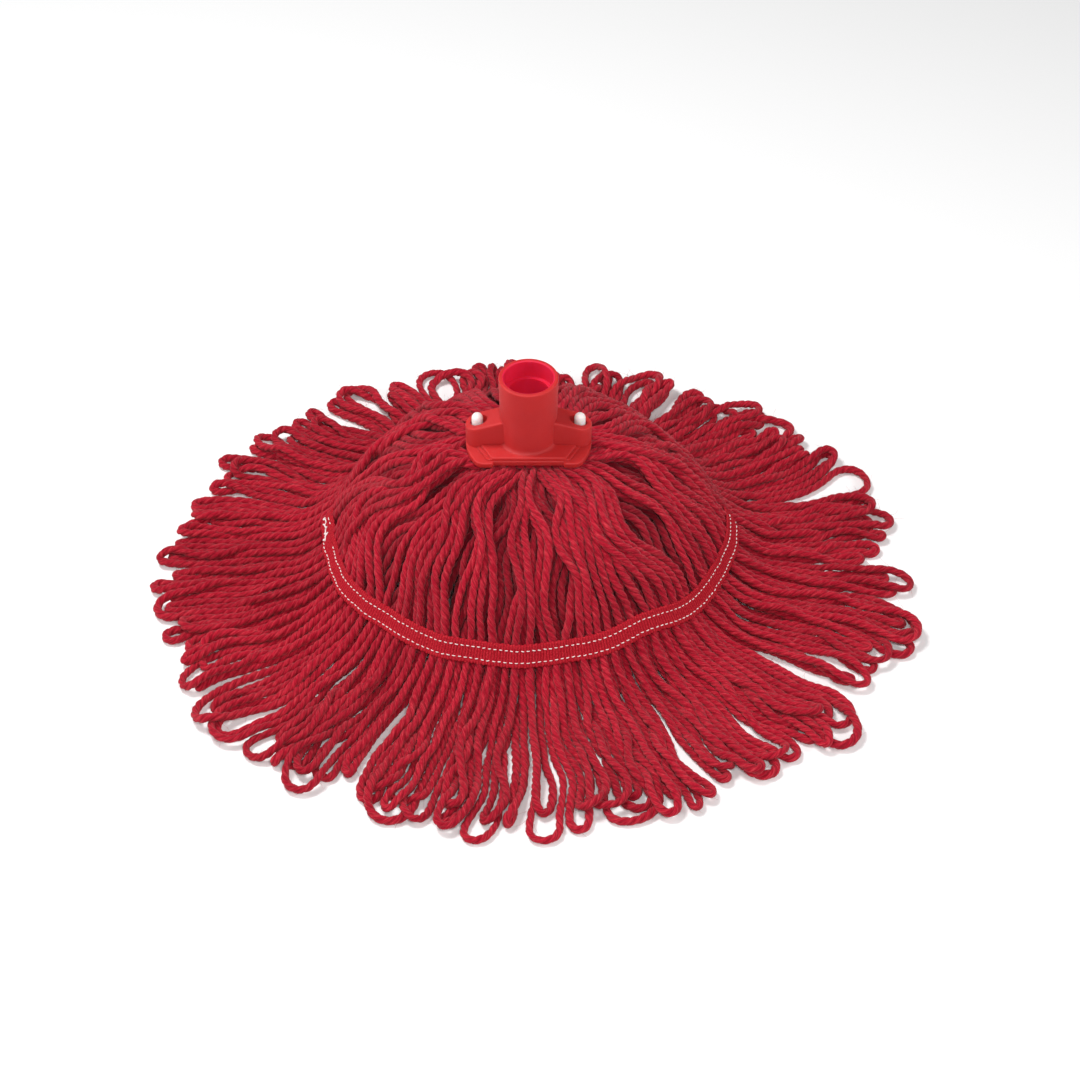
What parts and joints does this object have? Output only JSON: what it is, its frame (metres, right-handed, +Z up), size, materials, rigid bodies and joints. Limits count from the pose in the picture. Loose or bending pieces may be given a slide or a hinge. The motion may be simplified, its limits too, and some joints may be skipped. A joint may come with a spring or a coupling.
{
  "type": "string mop",
  "caption": "String mop head with looped yarn, sewn tape bands and a threaded plastic handle socket snapped over the yarn.",
  "frame": {"origin": "on the floor, under the handle socket's axis", "axes": "+Z up along the handle's axis, +X through the socket's two lugs, -Y towards the front"},
  "size_m": [0.4418, 0.4144, 0.14],
  "materials": {
    "red_plastic": "satin",
    "white_nylon": "satin",
    "red_yarn": "matte",
    "red_tape": "matte",
    "white_thread": "matte"
  },
  "bodies": {
    "head": {"handle_socket": "red_plastic", "yarn_clamp": "white_nylon", "yarn_core": "red_yarn", "centre_tape_top": "red_tape", "centre_tape_under": "red_tape", "dome_hank_01": "red_yarn", "dome_hank_02": "red_yarn", "dome_hank_03": "red_yarn", "dome_hank_04": "red_yarn", "dome_hank_05": "red_yarn", "dome_hank_06": "red_yarn", "dome_hank_07": "red_yarn", "dome_hank_08": "red_yarn", "dome_hank_09": "red_yarn", "dome_hank_10": "red_yarn", "dome_hank_11": "red_yarn", "dome_hank_12": "red_yarn", "tape_front_top": "red_tape", "tape_front_under": "red_tape", "stitches_front_inner": "white_thread", "stitches_front_outer": "white_thread", "tape_rear_top": "red_tape", "tape_rear_under": "red_tape", "stitches_rear_inner": "white_thread", "stitches_rear_outer": "white_thread", "thread_tails": "white_thread"},
    "fringe_01": {"fringe_hank_01": "red_yarn"},
    "fringe_02": {"fringe_hank_02": "red_yarn"},
    "fringe_03": {"fringe_hank_03": "red_yarn"},
    "fringe_04": {"fringe_hank_04": "red_yarn"},
    "fringe_05": {"fringe_hank_05": "red_yarn"},
    "fringe_06": {"fringe_hank_06": "red_yarn"},
    "fringe_07": {"fringe_hank_07": "red_yarn"},
    "fringe_08": {"fringe_hank_08": "red_yarn"},
    "fringe_09": {"fringe_hank_09": "red_yarn"},
    "fringe_10": {"fringe_hank_10": "red_yarn"},
    "fringe_11": {"fringe_hank_11": "red_yarn"},
    "fringe_12": {"fringe_hank_12": "red_yarn"}
  },
  "joints": [
    {"name": "fringe_01_swing", "type": "hinge", "parent": "head", "child": "fringe_01", "pos_m": [0.12412, 0.03326, 0.006], "axis": [0.2588, -0.9659, 0], "range_deg": [-30, 30]},
    {"name": "fringe_02_swing", "type": "hinge", "parent": "head", "child": "fringe_02", "pos_m": [0.09086, 0.09086, 0.006], "axis": [0.7071, -0.7071, 0], "range_deg": [-30, 30]},
    {"name": "fringe_03_swing", "type": "hinge", "parent": "head", "child": "fringe_03", "pos_m": [0.03326, 0.12412, 0.006], "axis": [0.9659, -0.2588, 0], "range_deg": [-30, 30]},
    {"name": "fringe_04_swing", "type": "hinge", "parent": "head", "child": "fringe_04", "pos_m": [-0.03326, 0.12412, 0.006], "axis": [0.9659, 0.2588, 0], "range_deg": [-30, 30]},
    {"name": "fringe_05_swing", "type": "hinge", "parent": "head", "child": "fringe_05", "pos_m": [-0.09086, 0.09086, 0.006], "axis": [0.7071, 0.7071, 0], "range_deg": [-30, 30]},
    {"name": "fringe_06_swing", "type": "hinge", "parent": "head", "child": "fringe_06", "pos_m": [-0.12412, 0.03326, 0.006], "axis": [0.2588, 0.9659, 0], "range_deg": [-30, 30]},
    {"name": "fringe_07_swing", "type": "hinge", "parent": "head", "child": "fringe_07", "pos_m": [-0.12412, -0.03326, 0.006], "axis": [-0.2588, 0.9659, 0], "range_deg": [-30, 30]},
    {"name": "fringe_08_swing", "type": "hinge", "parent": "head", "child": "fringe_08", "pos_m": [-0.09086, -0.09086, 0.006], "axis": [-0.7071, 0.7071, 0], "range_deg": [-30, 30]},
    {"name": "fringe_09_swing", "type": "hinge", "parent": "head", "child": "fringe_09", "pos_m": [-0.03326, -0.12412, 0.006], "axis": [-0.9659, 0.2588, 0], "range_deg": [-30, 30]},
    {"name": "fringe_10_swing", "type": "hinge", "parent": "head", "child": "fringe_10", "pos_m": [0.03326, -0.12412, 0.006], "axis": [-0.9659, -0.2588, 0], "range_deg": [-30, 30]},
    {"name": "fringe_11_swing", "type": "hinge", "parent": "head", "child": "fringe_11", "pos_m": [0.09086, -0.09086, 0.006], "axis": [-0.7071, -0.7071, 0], "range_deg": [-30, 30]},
    {"name": "fringe_12_swing", "type": "hinge", "parent": "head", "child": "fringe_12", "pos_m": [0.12412, -0.03326, 0.006], "axis": [-0.2588, -0.9659, 0], "range_deg": [-30, 30]}
  ]
}
